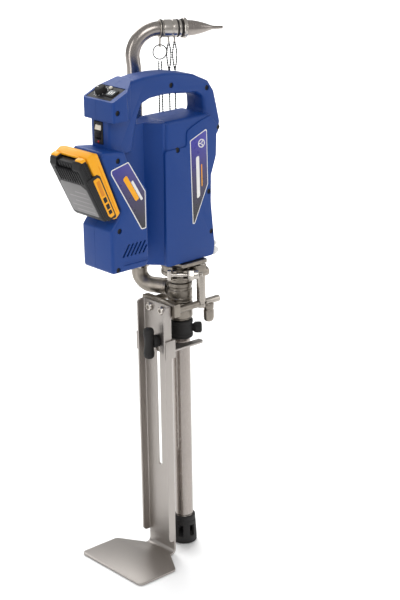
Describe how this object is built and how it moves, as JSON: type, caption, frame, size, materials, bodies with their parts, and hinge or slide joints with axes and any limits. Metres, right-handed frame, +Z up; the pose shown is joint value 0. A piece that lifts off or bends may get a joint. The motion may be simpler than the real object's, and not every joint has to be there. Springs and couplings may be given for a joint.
{
  "type": "cordless piston pump on a stand",
  "caption": "Battery driven piston pump with a carry handle, folded foot stand, sliding pail hook, intake tube and a swivelling gooseneck outlet with a tapered nozzle.",
  "frame": {"origin": "centre of the foot plate's flat underside", "axes": "+Z up; +X from the battery towards the nozzle; +Y towards the riser tube; the housing parts on Y = 0"},
  "size_m": [0.302, 0.1463, 0.8069],
  "materials": {
    "satin_steel": "satin",
    "polished_steel": "polished",
    "cast_steel": "cast, bead blasted",
    "black_plastic": "matte",
    "white_plastic": "matte",
    "grey_plastic": "matte",
    "yellow_plastic": "satin",
    "blue_plastic": "fine texture",
    "circuit_green": "matte",
    "black_rubber": "matte",
    "aluminium": "machined"
  },
  "bodies": {
    "frame": {"stand_channel": "satin_steel", "stand_bracket": "cast_steel", "stand_screw_rear": "polished_steel", "stand_screw_front": "polished_steel", "hanger_bar": "satin_steel", "tie_rod_front": "satin_steel", "tie_rod_rear": "satin_steel", "housing_right": "blue_plastic", "housing_left": "blue_plastic", "housing_screw_1": "black_plastic", "housing_screw_2": "black_plastic", "housing_screw_3": "black_plastic", "housing_screw_4": "black_plastic", "control_panel": "black_plastic", "switch_frame": "black_plastic", "control_board": "circuit_green", "battery_rail": "black_plastic", "motor_can": "satin_steel", "drive_belt": "black_rubber", "bearing_carrier": "aluminium", "pump_mount_plate": "satin_steel", "pump_head": "cast_steel", "rod_packing": "black_rubber", "pump_cylinder": "cast_steel", "inlet_valve_body": "cast_steel", "intake_coupling": "black_plastic", "intake_tube": "satin_steel", "intake_strainer": "black_plastic", "clamp_half_left": "cast_steel", "clamp_half_right": "cast_steel", "clamp_bolt": "polished_steel", "outlet_elbow": "cast_steel", "riser_nut": "polished_steel"},
    "hook": {"pail_hook": "satin_steel", "clamp_nut": "polished_steel"},
    "hook_knob": {"clamp_knob": "black_plastic"},
    "dial": {"pressure_dial": "black_plastic"},
    "mode_key": {"mode_button": "white_plastic"},
    "rocker": {"rocker_switch": "white_plastic"},
    "battery": {"battery_cover": "yellow_plastic", "battery_base": "grey_plastic"},
    "battery_key": {"battery_latch": "black_plastic"},
    "rotor": {"motor_shaft": "polished_steel"},
    "crank": {"crankshaft": "polished_steel"},
    "con_rod": {"connecting_rod": "cast_steel"},
    "plunger": {"piston_rod": "cast_steel", "wrist_pin": "polished_steel"},
    "valve_ball": {"inlet_ball": "polished_steel"},
    "swing_nut": {"clamp_wing_nut": "polished_steel"},
    "coupling_screw": {"coupling_knob": "black_plastic"},
    "spout": {"riser_tube": "polished_steel", "grip_ring": "black_rubber", "coupler_sleeve": "polished_steel", "coupler_seal_rear": "black_rubber", "coupler_seal_front": "black_rubber", "hook_chain": "polished_steel"},
    "collar": {"nozzle_collar": "polished_steel"},
    "tip": {"nozzle": "polished_steel"},
    "ring": {"split_ring": "polished_steel", "ring_chain": "polished_steel"}
  },
  "joints": [
    {"name": "hook_height", "type": "slide", "parent": "frame", "child": "hook", "axis": [0, 0, 1], "range_m": [-0.18, 0.004]},
    {"name": "knob_turn", "type": "hinge", "parent": "hook", "child": "hook_knob", "pos_m": [0.045, 0, 0.343], "axis": [1, 0, 0], "continuous": true},
    {"name": "battery_lift", "type": "slide", "parent": "frame", "child": "battery", "axis": [-0.373, 0, 0.9278], "range_m": [0, 0.09]},
    {"name": "latch_press", "type": "slide", "parent": "battery", "child": "battery_key", "axis": [0.9278, 0, 0.373], "range_m": [0, 0.0012], "stiffness_N_per_m": 400, "springref_m": -0.001},
    {"name": "dial_turn", "type": "hinge", "parent": "frame", "child": "dial", "pos_m": [-0.03029, 0.009, 0.72801], "axis": [-0.4067, 0, 0.9135], "range_deg": [0, 270]},
    {"name": "mode_press", "type": "slide", "parent": "frame", "child": "mode_key", "axis": [0.4067, 0, -0.9135], "range_m": [0, 0.001], "stiffness_N_per_m": 200, "springref_m": -0.0015},
    {"name": "switch_rock", "type": "hinge", "parent": "frame", "child": "rocker", "pos_m": [-0.0395, 0.001, 0.6745], "axis": [0, 1, 0], "range_deg": [0, 12]},
    {"name": "crank_spin", "type": "hinge", "parent": "frame", "child": "crank", "pos_m": [0.098, 0.012, 0.545], "axis": [0, 1, 0], "continuous": true},
    {"name": "rotor_spin", "type": "hinge", "parent": "frame", "child": "rotor", "pos_m": [-0.023, 0, 0.521], "axis": [0, 1, 0], "continuous": true},
    {"name": "piston_stroke", "type": "slide", "parent": "frame", "child": "plunger", "axis": [0, 0, 1], "range_m": [-0.024, 0]},
    {"name": "con_rod_swing", "type": "hinge", "parent": "plunger", "child": "con_rod", "pos_m": [0.098, 0, 0.508], "axis": [0, 1, 0], "range_deg": [-14, 14]},
    {"name": "inlet_ball_lift", "type": "slide", "parent": "frame", "child": "valve_ball", "axis": [0, 0, 1], "range_m": [0, 0.003]},
    {"name": "swing_nut_turn", "type": "hinge", "parent": "frame", "child": "swing_nut", "pos_m": [0.088, -0.04147, 0.447], "axis": [0.766, -0.6428, 0], "continuous": true},
    {"name": "coupling_knob_turn", "type": "hinge", "parent": "frame", "child": "coupling_screw", "pos_m": [0.11715, -0.01607, 0.352], "axis": [0.766, -0.6428, 0], "continuous": true},
    {"name": "spout_swivel", "type": "hinge", "parent": "frame", "child": "spout", "pos_m": [0.0706, 0.06, 0.6], "axis": [0, 0, 1], "range_deg": [0, 120]},
    {"name": "collar_turn", "type": "hinge", "parent": "spout", "child": "collar", "pos_m": [0.13996, 0.02912, 0.79168], "axis": [0.9127, -0.4063, -0.0436], "continuous": true},
    {"name": "nozzle_turn", "type": "hinge", "parent": "spout", "child": "tip", "pos_m": [0.15274, 0.02343, 0.79107], "axis": [0.9127, -0.4063, -0.0436], "continuous": true},
    {"name": "ring_swing", "type": "hinge", "parent": "spout", "child": "ring", "pos_m": [0.10647, 0.04403, 0.76989], "axis": [0.9135, -0.4067, 0], "range_deg": [-3, 25]}
  ],
  "couplings": [
    {"joint": "rotor_spin", "follows": "crank_spin", "ratio": 2.8889}
  ]
}
